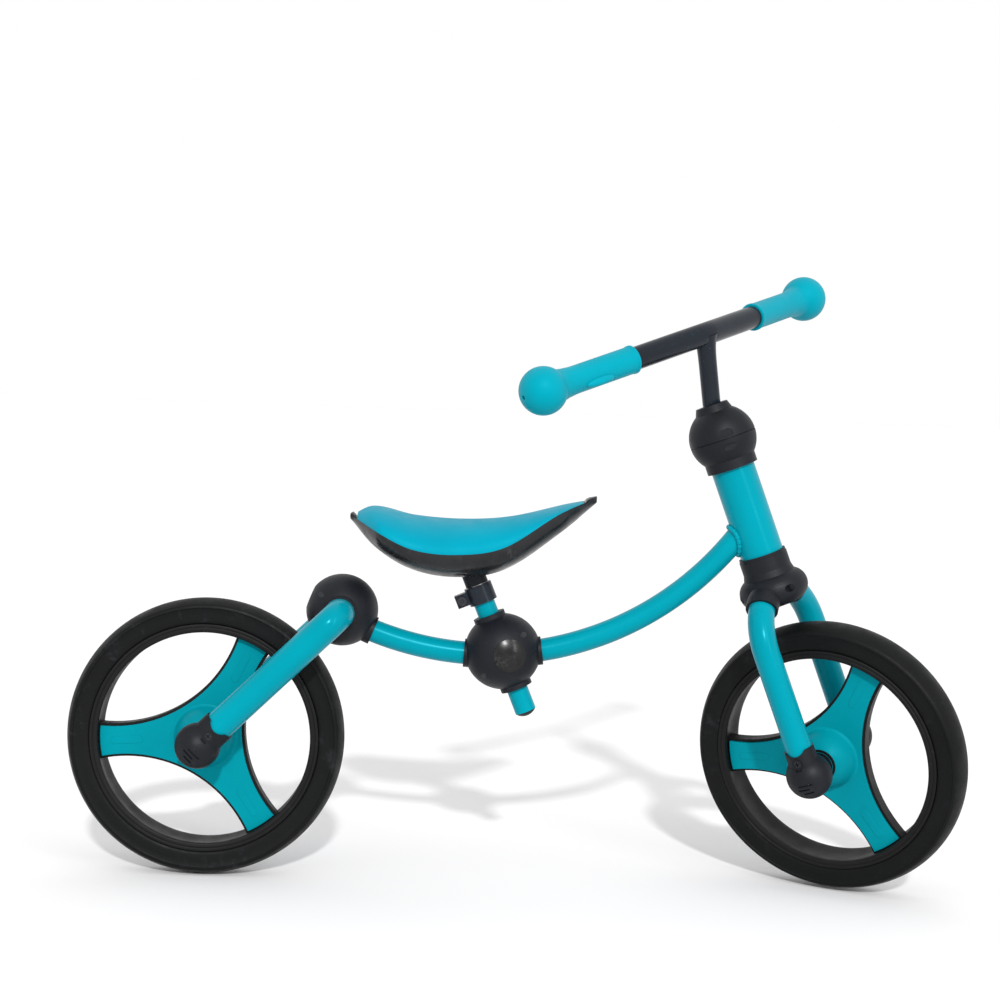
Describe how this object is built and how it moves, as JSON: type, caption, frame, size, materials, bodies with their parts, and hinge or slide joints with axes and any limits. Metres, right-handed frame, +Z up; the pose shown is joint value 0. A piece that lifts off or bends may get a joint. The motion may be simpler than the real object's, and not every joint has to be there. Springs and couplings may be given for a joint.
{
  "type": "balance bike",
  "caption": "Child's balance bike without pedals: arched steel tube frame, three-spoke wheels with ball end caps, turned fork and handlebar, height-adjustable saddle",
  "frame": {"origin": "the rear tyre's contact point on the ground, in the bike's middle plane", "axes": "+X forward along the bike, +Y to the rider's left, +Z up; the steering parts are drawn turned to the right"},
  "size_m": [0.8173, 0.2733, 0.5726],
  "materials": {
    "paint_teal": "gloss",
    "plastic_teal": "satin",
    "grip_teal": "matte",
    "pad_teal": "satin",
    "plastic_black": "satin",
    "shell_black": "gloss",
    "badge_black": "gloss",
    "bar_black": "gloss",
    "tyre_rubber": "matte",
    "steel_zinc": "satin",
    "plastic_ivory": "satin"
  },
  "bodies": {
    "frame": {"main_tube": "paint_teal", "head_tube": "paint_teal", "seat_tube": "paint_teal", "seat_tube_plug": "plastic_black", "rear_fork": "paint_teal", "rear_housing_right": "plastic_black", "rear_housing_left": "plastic_black", "centre_housing_right": "plastic_black", "centre_housing_left": "plastic_black", "centre_badges": "badge_black", "housing_screws": "steel_zinc", "headset_lower_shell": "plastic_black", "headset_upper_shell": "plastic_black", "head_bush_lower": "plastic_ivory", "head_bush_upper": "plastic_ivory", "seat_clamp": "bar_black", "seat_clamp_bolt": "steel_zinc", "seat_clamp_nut": "steel_zinc", "rear_axle": "steel_zinc", "rear_axle_nuts": "steel_zinc", "rear_axle_spacers": "steel_zinc", "rear_cap_right": "plastic_black", "rear_cap_left": "plastic_black", "rear_cap_screws": "steel_zinc"},
    "fork": {"steerer": "steel_zinc", "fork_tube": "paint_teal", "crown_spacer": "steel_zinc", "crown_cover_right": "plastic_black", "crown_cover_left": "plastic_black", "crown_screws": "steel_zinc", "headset_locknut": "steel_zinc", "stem_clamp": "steel_zinc", "stem_clamp_bolt": "steel_zinc", "front_axle": "steel_zinc", "front_axle_nuts": "steel_zinc", "front_axle_spacers": "steel_zinc", "front_cap_right": "plastic_black", "front_cap_left": "plastic_black", "front_cap_screws": "steel_zinc"},
    "handlebar": {"handlebar": "bar_black", "grip_right": "grip_teal", "grip_left": "grip_teal"},
    "rear_wheel": {"rear_tyre": "tyre_rubber", "rear_core": "plastic_black", "rear_cover_right": "plastic_teal", "rear_cover_left": "plastic_teal", "rear_bushes": "plastic_ivory"},
    "front_wheel": {"front_tyre": "tyre_rubber", "front_core": "plastic_black", "front_cover_right": "plastic_teal", "front_cover_left": "plastic_teal", "front_bushes": "plastic_ivory"},
    "seat": {"seat_pad": "pad_teal", "seat_shell": "shell_black", "seat_neck": "plastic_black", "seat_post": "steel_zinc", "seat_post_bolt": "steel_zinc"}
  },
  "joints": [
    {"name": "steering", "type": "hinge", "parent": "frame", "child": "fork", "pos_m": [0.5748, 0, 0.127], "axis": [-0.3584, 0, 0.9336], "range_deg": [-19.2, 80.8]},
    {"name": "handlebar_turn", "type": "hinge", "parent": "fork", "child": "handlebar", "pos_m": [0.5748, 0, 0.127], "axis": [-0.3584, 0, 0.9336], "range_deg": [-10.8, 49.2]},
    {"name": "front_wheel_spin", "type": "hinge", "parent": "fork", "child": "front_wheel", "pos_m": [0.5748, 0, 0.127], "axis": [0.478, 0.859, 0.1835], "continuous": true},
    {"name": "rear_wheel_spin", "type": "hinge", "parent": "frame", "child": "rear_wheel", "pos_m": [0, 0, 0.127], "axis": [0, 1, 0], "continuous": true},
    {"name": "seat_height", "type": "slide", "parent": "frame", "child": "seat", "axis": [-0.3875, 0, 0.9219], "range_m": [0, 0.07]}
  ]
}
